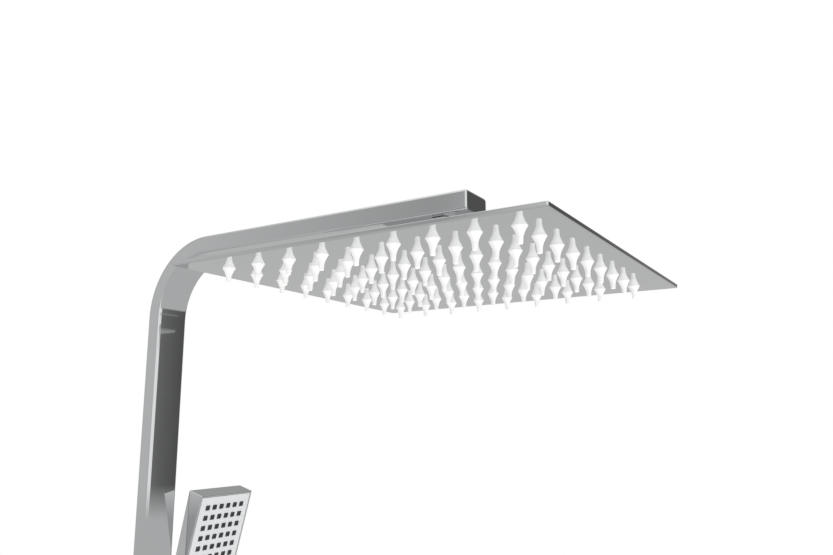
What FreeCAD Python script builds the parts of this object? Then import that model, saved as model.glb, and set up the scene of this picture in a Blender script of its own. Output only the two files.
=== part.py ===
import FreeCAD, Part
import math
import os

from FreeCAD import Vector, Placement, Rotation

# Rainfall shower column for a wall: a bent flat riser that carries a square overhead
# shower on a ball joint, a hand shower in a tilting holder that slides on the riser,
# and a diverter at the foot with the water inlet and the hose outlet.
# Millimetres. X is to the right, Y goes into the wall, Z is up.
# The origin is the centre of the lower wall plate, on the wall.

# ---- driving dimensions -------------------------------------------------------------

HEAD_SIDE = 300.0            # square overhead shower
HEAD_THICK = 3.3
HEAD_REACH = 388.0           # wall to the centre of the overhead shower
HEAD_Z = 860.0               # underside of the overhead shower
SHEET = 1.0                  # stainless sheet of the overhead shower
HEAD_RIM = 1.2
HEAD_EDGE_ROUND = 0.6

NOZZLE_ROWS = 9
NOZZLE_PITCH = 30.0
NOZZLE_LENGTH = 11.2
NOZZLE_BASE_R = 5.1
NOZZLE_TIP_R = 1.75
NOZZLE_BORE_R = 0.6
MAT_THICK = 0.8

TUBE_WIDTH = 34.6            # flat riser tube, seen from the front
TUBE_DEPTH = 17.0
TUBE_WALL = 1.5
TUBE_CORNER = 2.6
BEND_INNER_R = 60.0
WALL_GAP = 48.0              # wall to the back of the riser
ARM_ABOVE_HEAD = 49.1        # underside of the head to the underside of the arm
ARM_PAST_HEAD = 30.5
RISER_FOOT_Z = -54.0

BALL_R = 9.0
BALL_ABOVE_HEAD = 23.0       # ball centre above the underside of the head
SOCKET_GAP = 0.3
SEAT_R = 11.8                # the sealing seat under the ball, outside

UPPER_BRACKET_Z = 570.0
PLATE_SIDE = 44.0
PLATE_THICK = 4.0
PLATE_HOLE_R = 2.6
PLATE_HOLE_SPACING = 32.0
STANDOFF_SIDE = 24.0

HOLDER_Z = 460.0             # middle of the hand shower's holder
HOLDER_HEIGHT = 40.0
HANDSET_X = 61.0             # hand shower beside the riser
HANDSET_TOP_Y = -93.0        # top front edge of the hand shower's face
HANDSET_TOP_Z = 671.2
FACE_TILT = 15.6             # degrees, the face leans out at the top
FACE_WIDTH = 70.5
FACE_LENGTH = 105.0
FACE_TOP_THICK = 19.0
FACE_FOOT_THICK = 26.0
CREASE_LENGTH = 75.0         # the side's crease meets the face this far down
SIDE_SLOPE = 0.316           # how fast the facet behind the crease leans inwards
HANDLE_WIDTH = 26.0
HANDLE_DEPTH = 25.0
SPRAY_COLUMNS = 6
SPRAY_ROWS = 8
SPRAY_PITCH_X = 9.3
SPRAY_PITCH_V = 10.5
SPRAY_FIRST = 13.0
SPRAY_SIZE = 4.6

BODY_WIDTH = 60.0            # diverter body
BODY_DEPTH = 36.0
BODY_TOP_Z = -40.0
BODY_FOOT_Z = -100.0
KNOB_Z = -72.0
KNOB_SIDE = 38.0
PORT_X = 15.0
THREAD_R = 10.48             # G1/2 outside
THREAD_LENGTH = 14.0

# ---- derived places -----------------------------------------------------------------

TUBE_BACK_Y = -WALL_GAP
TUBE_FRONT_Y = TUBE_BACK_Y - TUBE_DEPTH
TUBE_Y = (TUBE_BACK_Y + TUBE_FRONT_Y) / 2
HEAD_Y = -HEAD_REACH
HEAD_TOP_Z = HEAD_Z + HEAD_THICK
ARM_FOOT_Z = HEAD_Z + ARM_ABOVE_HEAD
ARM_TOP_Z = ARM_FOOT_Z + TUBE_DEPTH
BEND_OUTER_R = BEND_INNER_R + TUBE_DEPTH
BEND_Y = TUBE_BACK_Y - BEND_OUTER_R
BEND_Z = ARM_TOP_Z - BEND_OUTER_R
ARM_END_Y = HEAD_Y - ARM_PAST_HEAD
CAP_THICK = 2.0
CAP_EDGE_ROUND = 1.4
WASHER_THICK = 0.4
BALL_Z = HEAD_Z + BALL_ABOVE_HEAD
HANDLE_Y = TUBE_Y + 2.0
HOLDER_TOP_Z = HOLDER_Z + HOLDER_HEIGHT / 2
HOLDER_FOOT_Z = HOLDER_Z - HOLDER_HEIGHT / 2
BODY_FRONT_Y = TUBE_Y - BODY_DEPTH / 2
BODY_BACK_Y = TUBE_Y + BODY_DEPTH / 2

AXIS_X = Vector(1, 0, 0)
AXIS_Y = Vector(0, 1, 0)
AXIS_Z = Vector(0, 0, 1)

os.makedirs("parts", exist_ok=True)


# ---- solids used by every sub-part ---------------------------------------------------

def save(node, shape):
    """Write one sub-part under its node's name."""
    shape.exportStep("parts/" + node + ".step")
    print(node, len(shape.Solids), round(shape.Volume), shape.isValid())


def block(x_low, x_high, y_low, y_high, z_low, z_high):
    """A box between two corners."""
    size = (x_high - x_low, y_high - y_low, z_high - z_low)
    return Part.makeBox(*size, Vector(x_low, y_low, z_low))


def rod(radius, start, axis, length):
    """A round bar from a point, along an axis."""
    return Part.makeCylinder(radius, length, start, axis)


def ring(outer, inner, start, axis, length):
    """A round tube from a point, along an axis."""
    return rod(outer, start, axis, length).cut(rod(inner, start, axis, length))


def hexagon_bar(across_flats, start, axis, length):
    """A hexagonal bar from a point, along an axis."""
    radius = across_flats / math.sqrt(3)
    corners = []
    for step in range(7):
        turn = math.radians(60 * step + 30)
        corners.append(Vector(radius * math.cos(turn), radius * math.sin(turn), 0))
    bar = Part.Face(Part.makePolygon(corners)).extrude(Vector(0, 0, length))
    bar.Placement = Placement(start, Rotation(AXIS_Z, axis))
    return bar


def rounded_outline(width, depth, corner):
    """A closed wire in the XY plane, a rectangle with round corners."""
    half_w = width / 2
    half_d = depth / 2
    edges = []
    for quarter in range(4):
        turn = quarter * math.pi / 2
        along = half_w if quarter % 2 == 0 else half_d
        across = half_d if quarter % 2 == 0 else half_w
        out = Vector(math.cos(turn), math.sin(turn), 0)
        side = Vector(-math.sin(turn), math.cos(turn), 0)
        low = out * along - side * (across - corner)
        high = out * along + side * (across - corner)
        centre = out * (along - corner) + side * (across - corner)
        middle = centre + (out + side) * (corner / math.sqrt(2))
        end = centre + side * corner
        edges.append(Part.LineSegment(low, high).toShape())
        edges.append(Part.Arc(high, middle, end).toShape())
    return Part.Wire(edges)


def rounded_bar(width, depth, corner, centre_x, centre_y, z_low, z_high):
    """An upright bar with a round-cornered section."""
    bar = Part.Face(rounded_outline(width, depth, corner)).extrude(Vector(0, 0, z_high - z_low))
    bar.translate(Vector(centre_x, centre_y, z_low))
    return bar


def facing_bar(width, height, corner, centre_x, centre_z, y_low, y_high):
    """A bar along Y with a round-cornered section."""
    bar = Part.Face(rounded_outline(width, height, corner)).extrude(Vector(0, 0, y_high - y_low))
    bar.rotate(Vector(0, 0, 0), AXIS_X, -90)
    bar.translate(Vector(centre_x, y_low, centre_z))
    return bar


def turned(profile, centre):
    """A solid turned about the vertical line through centre, from (radius, height) points."""
    points = [Vector(radius, 0, height) for radius, height in profile]
    points.append(points[0])
    solid = Part.Face(Part.makePolygon(points)).revolve(Vector(0, 0, 0), AXIS_Z, 360)
    solid.translate(centre)
    return solid


def group(solids):
    """Separate solids in one node."""
    return Part.makeCompound(solids)


# ---- riser --------------------------------------------------------------------------

def bent_bar(width, depth, corner, end_y, foot_z):
    """The riser's path filled with one section: upright, quarter bend, arm to the front."""
    trim = (TUBE_DEPTH - depth) / 2
    upright = rounded_bar(width, depth, corner, 0, TUBE_Y, foot_z, BEND_Z)
    face = Part.Face(rounded_outline(width, depth, corner))
    face.translate(Vector(0, TUBE_Y, BEND_Z))
    bend = face.revolve(Vector(0, BEND_Y, BEND_Z), AXIS_X, 90)
    arm_z = ARM_TOP_Z - trim - depth / 2
    arm = facing_bar(width, depth, corner, 0, arm_z, end_y, BEND_Y)
    return upright.fuse([bend, arm]).removeSplitter()


def riser_tube():
    """One flat stainless tube, bent once, open at the foot and closed by the end cap."""
    inner = (TUBE_WIDTH - 2 * TUBE_WALL, TUBE_DEPTH - 2 * TUBE_WALL, TUBE_CORNER - 1)
    outside = bent_bar(TUBE_WIDTH, TUBE_DEPTH, TUBE_CORNER, ARM_END_Y + CAP_THICK, RISER_FOOT_Z)
    inside = bent_bar(*inner, ARM_END_Y + CAP_THICK - 1, RISER_FOOT_Z - 1)
    nipple_hole = rod(7.05, Vector(0, HEAD_Y, ARM_FOOT_Z - 1), AXIS_Z, TUBE_WALL + 2)
    tube = outside.cut(inside).cut(nipple_hole)
    return tube


def arm_end_cap():
    """Welded cap on the arm's open end, with a plug that centres it in the tube."""
    middle_z = ARM_FOOT_Z + TUBE_DEPTH / 2
    plate = facing_bar(TUBE_WIDTH, TUBE_DEPTH, TUBE_CORNER, 0, middle_z,
                       ARM_END_Y, ARM_END_Y + CAP_THICK)
    front_edges = [edge for edge in plate.Edges
                   if all(abs(point.Point.y - ARM_END_Y) < 0.01 for point in edge.Vertexes)]
    plate = plate.makeFillet(CAP_EDGE_ROUND, front_edges)
    plug = facing_bar(TUBE_WIDTH - 2 * TUBE_WALL - 0.1, TUBE_DEPTH - 2 * TUBE_WALL - 0.1,
                      TUBE_CORNER - 1, 0, middle_z, ARM_END_Y + CAP_THICK, ARM_END_Y + 6)
    return plate.fuse(plug)


def arm_nipple():
    """Short threaded nipple welded through the arm's underside."""
    return ring(7.0, 5.0, Vector(0, HEAD_Y, ARM_FOOT_Z - 12.5), AXIS_Z, 22)


HEX_FOOT_Z = BALL_Z + 13


def ball_stem():
    """Hexagonal collar, neck and ball in one turned brass piece."""
    collar = hexagon_bar(19, Vector(0, HEAD_Y, HEX_FOOT_Z), AXIS_Z,
                         ARM_FOOT_Z - WASHER_THICK - HEX_FOOT_Z)
    neck = rod(6, Vector(0, HEAD_Y, BALL_Z), AXIS_Z, 13)
    ball = Part.makeSphere(BALL_R, Vector(0, HEAD_Y, BALL_Z))
    flat = rod(BALL_R, Vector(0, HEAD_Y, BALL_Z - BALL_R), AXIS_Z, 1.5)
    water = rod(3.5, Vector(0, HEAD_Y, BALL_Z - BALL_R - 1), AXIS_Z, 30)
    thread = rod(7.05, Vector(0, HEAD_Y, ARM_FOOT_Z - 12.6), AXIS_Z, 20)
    return collar.fuse([neck, ball]).cut(flat).cut(water).cut(thread)


def stem_washer():
    """Fibre washer between the collar and the arm."""
    return ring(8.4, 7.1, Vector(0, HEAD_Y, ARM_FOOT_Z - WASHER_THICK), AXIS_Z, WASHER_THICK)


def spherical_ring(outer_r, bore_r, low, high):
    """A ring around the ball's centre, hollowed to a sphere just larger than the ball."""
    blank = ring(outer_r, bore_r, Vector(0, HEAD_Y, BALL_Z + low), AXIS_Z, high - low)
    return blank.cut(Part.makeSphere(BALL_R + SOCKET_GAP, Vector(0, HEAD_Y, BALL_Z)))


def ball_seat():
    """Lower sealing seat, under the ball, round outside as well so that it tilts in its cup."""
    seat = spherical_ring(SEAT_R, 5.5, -SEAT_R, -4.0)
    return seat.common(Part.makeSphere(SEAT_R, Vector(0, HEAD_Y, BALL_Z)))


def ball_friction_ring():
    """Upper friction ring, between the ball and the retaining nut."""
    return spherical_ring(12.4, 7.4, 1.0, 5.5)


def head_hub():
    """Turned hub welded on the head's back plate; the ball's seat lies in its round cup."""
    centre = Vector(0, HEAD_Y, HEAD_TOP_Z)
    rim = BALL_Z - 3.0 - HEAD_TOP_Z
    profile = [(5.5, 0), (22, 0), (22, 2.0), (21.3, 2.6), (13.0, 2.6), (13.0, rim), (5.5, rim)]
    cup = Part.makeSphere(SEAT_R + SOCKET_GAP, Vector(0, HEAD_Y, BALL_Z))
    return turned(profile, centre).cut(cup)


def socket_nut():
    """Hexagonal retaining nut that screws on the hub and traps the ball."""
    foot = HEAD_TOP_Z + 3.6
    top = BALL_Z + 9.0
    nut = hexagon_bar(30, Vector(0, HEAD_Y, foot), AXIS_Z, top - foot)
    cone_low = Part.makeCone(15.3, 22, 6.7, Vector(0, HEAD_Y, foot), AXIS_Z)
    cone_high = Part.makeCone(22, 15.3, 6.7, Vector(0, HEAD_Y, top - 6.7), AXIS_Z)
    middle = rod(22, Vector(0, HEAD_Y, foot + 6.7), AXIS_Z, top - foot - 13.4)
    nut = nut.common(cone_low.fuse([middle, cone_high]))
    thread = rod(13.05, Vector(0, HEAD_Y, foot - 1), AXIS_Z, BALL_Z + 5.8 - foot + 1)
    mouth = rod(8.4, Vector(0, HEAD_Y, foot), AXIS_Z, 60)
    return nut.cut(thread).cut(mouth)


def head_filter():
    """Fine strainer in the hub's bore."""
    return rod(5.4, Vector(0, HEAD_Y, HEAD_TOP_Z + 0.4), AXIS_Z, 1.4)


def flow_restrictor():
    """Ring that limits the flow, above the strainer."""
    return ring(5.4, 2.2, Vector(0, HEAD_Y, HEAD_TOP_Z + 2.2), AXIS_Z, 2.4)


# ---- overhead shower ----------------------------------------------------------------

def nozzle_places():
    """Centres of the overhead shower's nozzles."""
    first = -(NOZZLE_ROWS - 1) / 2 * NOZZLE_PITCH
    steps = [first + NOZZLE_PITCH * index for index in range(NOZZLE_ROWS)]
    return [Vector(x, HEAD_Y + y, 0) for x in steps for y in steps]


def edges_at(shape, z_level):
    """The outer straight edges of a plate at one height."""
    half = HEAD_SIDE / 2
    found = []
    for edge in shape.Edges:
        box = edge.BoundBox
        level = abs(box.ZMin - z_level) < 0.01 and abs(box.ZMax - z_level) < 0.01
        outer_x = min(abs(box.XMin + half), abs(box.XMax - half)) < 0.01
        outer_y = min(abs(box.YMin - HEAD_Y + half), abs(box.YMax - HEAD_Y - half)) < 0.01
        if level and edge.Length > HEAD_SIDE / 2 and (outer_x or outer_y):
            found.append(edge)
    return found


def head_front_plate():
    """Polished underside, a shallow tray with a hole for each nozzle."""
    half = HEAD_SIDE / 2
    tray = block(-half, half, HEAD_Y - half, HEAD_Y + half, HEAD_Z, HEAD_TOP_Z - SHEET)
    tray = tray.makeFillet(HEAD_EDGE_ROUND, edges_at(tray, HEAD_Z))
    inner = half - HEAD_RIM
    pocket = block(-inner, inner, HEAD_Y - inner, HEAD_Y + inner, HEAD_Z + SHEET, HEAD_TOP_Z)
    holes = [rod(NOZZLE_BASE_R + 0.05, place + Vector(0, 0, HEAD_Z - 1), AXIS_Z, SHEET + 2)
             for place in nozzle_places()]
    return tray.cut(pocket).cut(group(holes))


def head_back_plate():
    """Top sheet, welded to the tray's rim, with the water hole under the hub."""
    half = HEAD_SIDE / 2
    plate = block(-half, half, HEAD_Y - half, HEAD_Y + half, HEAD_TOP_Z - SHEET, HEAD_TOP_Z)
    plate = plate.makeFillet(HEAD_EDGE_ROUND, edges_at(plate, HEAD_TOP_Z))
    return plate.cut(rod(5.5, Vector(0, HEAD_Y, HEAD_Z), AXIS_Z, 10))


def nozzle_mat():
    """One silicone mat between the sheets; every nozzle flares out through its hole."""
    half = HEAD_SIDE / 2 - HEAD_RIM - 3
    low = HEAD_Z + SHEET
    mat = block(-half, half, HEAD_Y - half, HEAD_Y + half, low, low + MAT_THICK)
    flare = NOZZLE_LENGTH * 0.62
    base = Vector(NOZZLE_BASE_R, 0, 0)
    waist = Vector(NOZZLE_TIP_R + 0.3, 0, -flare)
    bow = Vector((NOZZLE_BASE_R + NOZZLE_TIP_R) / 2 - 0.45, 0, -flare * 0.45)
    edges = [
        Part.makeLine(Vector(0, 0, SHEET), Vector(NOZZLE_BASE_R, 0, SHEET)),
        Part.makeLine(Vector(NOZZLE_BASE_R, 0, SHEET), base),
        Part.Arc(base, bow, waist).toShape(),
        Part.makeLine(waist, Vector(NOZZLE_TIP_R, 0, -NOZZLE_LENGTH)),
        Part.makeLine(Vector(NOZZLE_TIP_R, 0, -NOZZLE_LENGTH), Vector(0, 0, -NOZZLE_LENGTH)),
        Part.makeLine(Vector(0, 0, -NOZZLE_LENGTH), Vector(0, 0, SHEET)),
    ]
    nozzle = Part.Face(Part.Wire(edges)).revolve(Vector(0, 0, 0), AXIS_Z, 360)
    bore = rod(NOZZLE_BORE_R, Vector(0, 0, -NOZZLE_LENGTH - 1), AXIS_Z, NOZZLE_LENGTH + 4)
    nozzles = []
    bores = []
    for place in nozzle_places():
        nozzles.append(nozzle.translated(place + Vector(0, 0, HEAD_Z)))
        bores.append(bore.translated(place + Vector(0, 0, HEAD_Z)))
    return mat.fuse(nozzles).cut(group(bores)).removeSplitter()


# ---- wall brackets ------------------------------------------------------------------

def wall_plate(z):
    """Square plate with two screw holes and a spigot for the stand-off."""
    plate = facing_bar(PLATE_SIDE, PLATE_SIDE, 3, 0, z, -PLATE_THICK, 0)
    spigot = rod(7.9, Vector(0, -18, z), AXIS_Y, 18 - PLATE_THICK)
    plate = plate.fuse(spigot)
    for side in (-1, 1):
        hole_z = z + side * PLATE_HOLE_SPACING / 2
        plate = plate.cut(rod(PLATE_HOLE_R, Vector(0, -10, hole_z), AXIS_Y, 20))
    return plate


def standoff(z):
    """Square sleeve between the wall plate and the riser, closed at the riser's end."""
    sleeve = facing_bar(STANDOFF_SIDE, STANDOFF_SIDE, 2, 0, z, TUBE_BACK_Y, -PLATE_THICK)
    bore = rod(8.0, Vector(0, TUBE_BACK_Y + 6, z), AXIS_Y, WALL_GAP)
    stud_hole = rod(4.05, Vector(0, TUBE_BACK_Y - 1, z), AXIS_Y, 10)
    grub_hole = rod(2.0, Vector(0, -11, z - STANDOFF_SIDE / 2 - 1), AXIS_Z, 8)
    return sleeve.cut(bore).cut(stud_hole).cut(grub_hole)


def wall_cover(z):
    """Thin cover that hides the wall plate and its screws."""
    shell = facing_bar(PLATE_SIDE + 4, PLATE_SIDE + 4, 4, 0, z, -9, 0)
    hollow = facing_bar(PLATE_SIDE + 1, PLATE_SIDE + 1, 3.2, 0, z, -7.8, 1)
    window = facing_bar(STANDOFF_SIDE + 0.3, STANDOFF_SIDE + 0.3, 2.1, 0, z, -10, 1)
    return shell.cut(hollow).cut(window)


def bracket_stud(z):
    """Stud welded on the riser's back."""
    return rod(4.0, Vector(0, TUBE_BACK_Y, z), AXIS_Y, 15)


def bracket_nut(z):
    """Nut on the stud, inside the stand-off."""
    nut = hexagon_bar(13, Vector(0, TUBE_BACK_Y + 6, z), AXIS_Y, 5)
    return nut.cut(rod(4.05, Vector(0, TUBE_BACK_Y, z), AXIS_Y, 20))


def bracket_grub(z):
    """Grub screw that locks the stand-off on the plate's spigot."""
    foot = z - STANDOFF_SIDE / 2 + 0.2
    screw = rod(1.95, Vector(0, -11, foot), AXIS_Z, z - 7.9 - foot)
    return screw.cut(hexagon_bar(2, Vector(0, -11, foot - 1), AXIS_Z, 2.5))


# ---- hand shower's holder -----------------------------------------------------------

COLLAR_WALL = 4.5
LINER = 1.2
SLIDE_GAP = 0.15
PIVOT_Y = HANDLE_Y
COLLAR_X = TUBE_WIDTH / 2 + SLIDE_GAP + LINER + COLLAR_WALL
BOSS_X = COLLAR_X + 5
HUB_X = BOSS_X + 1.2
SOCKET_WALL = 5.0
PLUG_TOP = 23.4
PLUG_FOOT = 20.6
SOCKET_CLEAR = 0.3


def slider_liner():
    """Plastic liner that slides on the riser."""
    gap = 2 * SLIDE_GAP
    outer = rounded_bar(TUBE_WIDTH + gap + 2 * LINER, TUBE_DEPTH + gap + 2 * LINER, 3.3,
                        0, TUBE_Y, HOLDER_FOOT_Z, HOLDER_TOP_Z)
    inner = rounded_bar(TUBE_WIDTH + gap, TUBE_DEPTH + gap, TUBE_CORNER + SLIDE_GAP,
                        0, TUBE_Y, HOLDER_FOOT_Z - 1, HOLDER_TOP_Z + 1)
    window = rod(4.1, Vector(-30, TUBE_Y, HOLDER_Z), AXIS_X, 30)
    return outer.cut(inner).cut(window)


def slider_body():
    """Cast collar around the liner, with a boss for the cradle and one for the knob."""
    width = 2 * COLLAR_X
    depth = TUBE_DEPTH + 2 * (SLIDE_GAP + LINER + COLLAR_WALL)
    outer = rounded_bar(width, depth, 4, 0, TUBE_Y, HOLDER_FOOT_Z, HOLDER_TOP_Z)
    seat = rounded_bar(width - 2 * COLLAR_WALL, depth - 2 * COLLAR_WALL, 3.3,
                       0, TUBE_Y, HOLDER_FOOT_Z - 1, HOLDER_TOP_Z + 1)
    boss = rod(13, Vector(COLLAR_X - 1, PIVOT_Y, HOLDER_Z), AXIS_X, BOSS_X - COLLAR_X + 1)
    screw_hole = rod(3.0, Vector(COLLAR_X - 3, PIVOT_Y, HOLDER_Z), AXIS_X, 20)
    stud_hole = rod(4.05, Vector(-COLLAR_X - 1, TUBE_Y, HOLDER_Z), AXIS_X, 10)
    return outer.fuse(boss).cut(seat).cut(screw_hole).cut(stud_hole)


def clamp_pad():
    """Brass pad between the locking screw and the riser."""
    return rod(3.9, Vector(-TUBE_WIDTH / 2 - SLIDE_GAP - 1.5, TUBE_Y, HOLDER_Z), AXIS_X, 1.4)


def lock_knob():
    """Round knob with grip flutes."""
    start = Vector(-COLLAR_X - 15, TUBE_Y, HOLDER_Z)
    knob = rod(14, start, AXIS_X, 14)
    rim_edges = [edge for edge in knob.Edges if edge.Closed and edge.Length > 1]
    knob = knob.makeFillet(1.2, rim_edges)
    flutes = []
    for index in range(12):
        turn = math.radians(30 * index)
        offset = Vector(-1, 16.2 * math.cos(turn), 16.2 * math.sin(turn))
        flutes.append(rod(3.2, start + offset, AXIS_X, 16))
    return knob.cut(group(flutes)).cut(rod(4.0, start + Vector(4, 0, 0), AXIS_X, 12))


def lock_screw():
    """Threaded screw fixed in the knob; its end presses the pad."""
    start = -COLLAR_X - 11
    end = -TUBE_WIDTH / 2 - SLIDE_GAP - 1.6
    return rod(4.0, Vector(start, TUBE_Y, HOLDER_Z), AXIS_X, end - start)


def friction_washer():
    """Washer that holds the cradle's angle."""
    return ring(12, 3.1, Vector(BOSS_X + 0.1, PIVOT_Y, HOLDER_Z), AXIS_X, 1.0)


def taper_bar(width_top, width_foot, z_top, z_foot, corner):
    """A square bar along the handle's axis that narrows downwards."""
    wires = []
    for width, z in ((width_top, z_top), (width_foot, z_foot)):
        wire = rounded_outline(width, width, corner)
        wire.translate(Vector(HANDSET_X, HANDLE_Y, z))
        wires.append(wire)
    return Part.makeLoft(wires, True, True)


PLUG_FOOT_Z = HOLDER_FOOT_Z - 14
PLUG_TAPER = (PLUG_TOP - PLUG_FOOT) / (HOLDER_TOP_Z - PLUG_FOOT_Z)


def cradle():
    """Square tapered socket, slotted at the front, on a round hub."""
    outer = 2 * SOCKET_WALL + PLUG_TOP + 2 * SOCKET_CLEAR
    socket = rounded_bar(outer, outer, 4, HANDSET_X, HANDLE_Y, HOLDER_FOOT_Z, HOLDER_TOP_Z)
    hub = rod(13, Vector(HUB_X, PIVOT_Y, HOLDER_Z), AXIS_X, HANDSET_X - outer / 2 - HUB_X + 1)
    clear = 2 * SOCKET_CLEAR
    foot_width = PLUG_TOP - PLUG_TAPER * (HOLDER_HEIGHT + 1) + clear
    top_width = PLUG_TOP + PLUG_TAPER + clear
    room = taper_bar(top_width, foot_width, HOLDER_TOP_Z + 1, HOLDER_FOOT_Z - 1, 2)
    slot = block(HANDSET_X - 7.5, HANDSET_X + 7.5, HANDLE_Y - 40, HANDLE_Y,
                 HOLDER_FOOT_Z - 1, HOLDER_TOP_Z + 1)
    shaft_hole = rod(3.06, Vector(HUB_X - 1, PIVOT_Y, HOLDER_Z), AXIS_X, 30)
    head_hole = rod(5.4, Vector(PIVOT_HEAD_X, PIVOT_Y, HOLDER_Z), AXIS_X, 15)
    return socket.fuse(hub).cut(room).cut(slot).cut(shaft_hole).cut(head_hole)


PIVOT_HEAD_X = HUB_X + 9.0


def pivot_screw():
    """Shoulder screw through the cradle's hub into the slider's boss."""
    start = COLLAR_X - 2.5
    shaft = rod(3.0, Vector(start, PIVOT_Y, HOLDER_Z), AXIS_X, PIVOT_HEAD_X + 0.1 - start)
    head = rod(5.1, Vector(PIVOT_HEAD_X + 0.1, PIVOT_Y, HOLDER_Z), AXIS_X, 4)
    key = hexagon_bar(4, Vector(PIVOT_HEAD_X + 1.8, PIVOT_Y, HOLDER_Z), AXIS_X, 4)
    return shaft.fuse(head).cut(key)


# ---- hand shower --------------------------------------------------------------------

TILT = math.radians(FACE_TILT)
DOWN = Vector(0, math.sin(TILT), -math.cos(TILT))
INWARD = Vector(0, math.cos(TILT), math.sin(TILT))
FACE_ORIGIN = Vector(HANDSET_X, HANDSET_TOP_Y, HANDSET_TOP_Z)
NECK_FOOT_Z = 536.0


def face_point(across, depth, down):
    """A point of the tilted head: across the face, behind it, and down along it."""
    return FACE_ORIGIN + AXIS_X * across + INWARD * depth + DOWN * down


def face_prism(outline, depth_low, depth_high):
    """A plate parallel to the face, from (across, down) corners and two depths."""
    corners = [face_point(across, depth_low, down) for across, down in outline]
    corners.append(corners[0])
    return Part.Face(Part.makePolygon(corners)).extrude(INWARD * (depth_high - depth_low))


def side_inset(depth, down):
    """How far the side facet has come in at a depth and a distance down the face."""
    crease = FACE_TOP_THICK * (1 - down / CREASE_LENGTH)
    return SIDE_SLOPE * max(0.0, depth - crease)


def solid_from(faces):
    """A closed solid from lists of corner points."""
    planes = []
    for corners in faces:
        planes.append(Part.Face(Part.makePolygon(corners + [corners[0]])))
    shell = Part.makeShell(planes)
    shell.sewShape()
    solid = Part.makeSolid(shell)
    if solid.Volume < 0:
        solid.reverse()
    return solid


def head_block(shrink, depth_low, trim_back, down_low, down_high):
    """The hand shower's head, or its hollow when shrunk: a slab whose sides fold inwards."""
    half = FACE_WIDTH / 2 - shrink
    top_back = FACE_TOP_THICK - trim_back
    foot_back = FACE_FOOT_THICK - trim_back
    foot_front_half = half - side_inset(0, down_high)
    foot_back_half = half - side_inset(foot_back, down_high)
    crease_end = min(CREASE_LENGTH, down_high)
    right = [face_point(half, depth_low, down_low), face_point(half, top_back, down_low),
             face_point(half, depth_low, crease_end),
             face_point(foot_front_half, depth_low, down_high),
             face_point(foot_back_half, foot_back, down_high)]
    left = [Vector(2 * HANDSET_X - point.x, point.y, point.z) for point in right]
    faces = [
        [left[0], right[0], right[1], left[1]],
        [left[0], left[2], left[3], right[3], right[2], right[0]],
        [left[1], right[1], right[4], left[4]],
        [left[3], left[4], right[4], right[3]],
        [right[0], right[2], right[1]],
        [left[0], left[1], left[2]],
        [right[1], right[2], right[3]],
        [right[1], right[3], right[4]],
        [left[1], left[3], left[2]],
        [left[1], left[4], left[3]],
    ]
    return solid_from(faces)


def neck_block():
    """The taper from the head's foot to the handle."""
    front_half = FACE_WIDTH / 2 - side_inset(0, FACE_LENGTH)
    back_half = FACE_WIDTH / 2 - side_inset(FACE_FOOT_THICK, FACE_LENGTH)
    top = [face_point(-front_half, 0, FACE_LENGTH), face_point(front_half, 0, FACE_LENGTH),
           face_point(back_half, FACE_FOOT_THICK, FACE_LENGTH),
           face_point(-back_half, FACE_FOOT_THICK, FACE_LENGTH)]
    half_w = HANDLE_WIDTH / 2
    half_d = HANDLE_DEPTH / 2
    foot = [Vector(HANDSET_X - half_w, HANDLE_Y - half_d, NECK_FOOT_Z),
            Vector(HANDSET_X + half_w, HANDLE_Y - half_d, NECK_FOOT_Z),
            Vector(HANDSET_X + half_w, HANDLE_Y + half_d, NECK_FOOT_Z),
            Vector(HANDSET_X - half_w, HANDLE_Y + half_d, NECK_FOOT_Z)]
    wires = [Part.makePolygon(top + [top[0]]), Part.makePolygon(foot + [foot[0]])]
    return Part.makeLoft(wires, True, True)


def handset_outline(inset, down_high):
    """The face's outline inside the rim, as (across, down) corners."""
    half = FACE_WIDTH / 2 - inset
    foot_half = half - side_inset(0, down_high)
    return [(-half, inset), (half, inset), (half, CREASE_LENGTH),
            (foot_half, down_high), (-foot_half, down_high), (-half, CREASE_LENGTH)]


RIM = 2.2
PLATE_LENGTH = 99.0


def handset_shell():
    """Moulded and plated body: head, neck and handle in one, with the tapered foot."""
    handle = block(HANDSET_X - HANDLE_WIDTH / 2, HANDSET_X + HANDLE_WIDTH / 2,
                   HANDLE_Y - HANDLE_DEPTH / 2, HANDLE_Y + HANDLE_DEPTH / 2,
                   HOLDER_TOP_Z, NECK_FOOT_Z)
    plug = taper_bar(PLUG_TOP, PLUG_FOOT, HOLDER_TOP_Z, PLUG_FOOT_Z, 2)
    body = head_block(0, 0, 0, 0, FACE_LENGTH).fuse([neck_block(), handle, plug])
    body = body.removeSplitter()
    recess = face_prism(handset_outline(RIM, PLATE_LENGTH), -1, 6.0)
    chamber = face_prism([(-27, 8), (27, 8), (27, 70), (20, 92), (-20, 92), (-27, 70)], 5.9, 13.0)
    water = rod(6.0, Vector(HANDSET_X, HANDLE_Y, PLUG_FOOT_Z - 1), AXIS_Z, 175)
    nipple_seat = rod(8.05, Vector(HANDSET_X, HANDLE_Y, PLUG_FOOT_Z - 1), AXIS_Z, 13)
    return body.cut(recess).cut(chamber).cut(water).cut(nipple_seat)


def spray_cells(size, depth_low, depth_high):
    """Square bars at every nozzle of the hand shower."""
    cells = []
    first = -(SPRAY_COLUMNS - 1) / 2 * SPRAY_PITCH_X
    for row in range(SPRAY_ROWS):
        down = SPRAY_FIRST + SPRAY_PITCH_V * row
        for column in range(SPRAY_COLUMNS):
            across = first + SPRAY_PITCH_X * column
            half = size / 2
            corners = [(across - half, down - half), (across + half, down - half),
                       (across + half, down + half), (across - half, down + half)]
            cells.append(face_prism(corners, depth_low, depth_high))
    return cells


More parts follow.
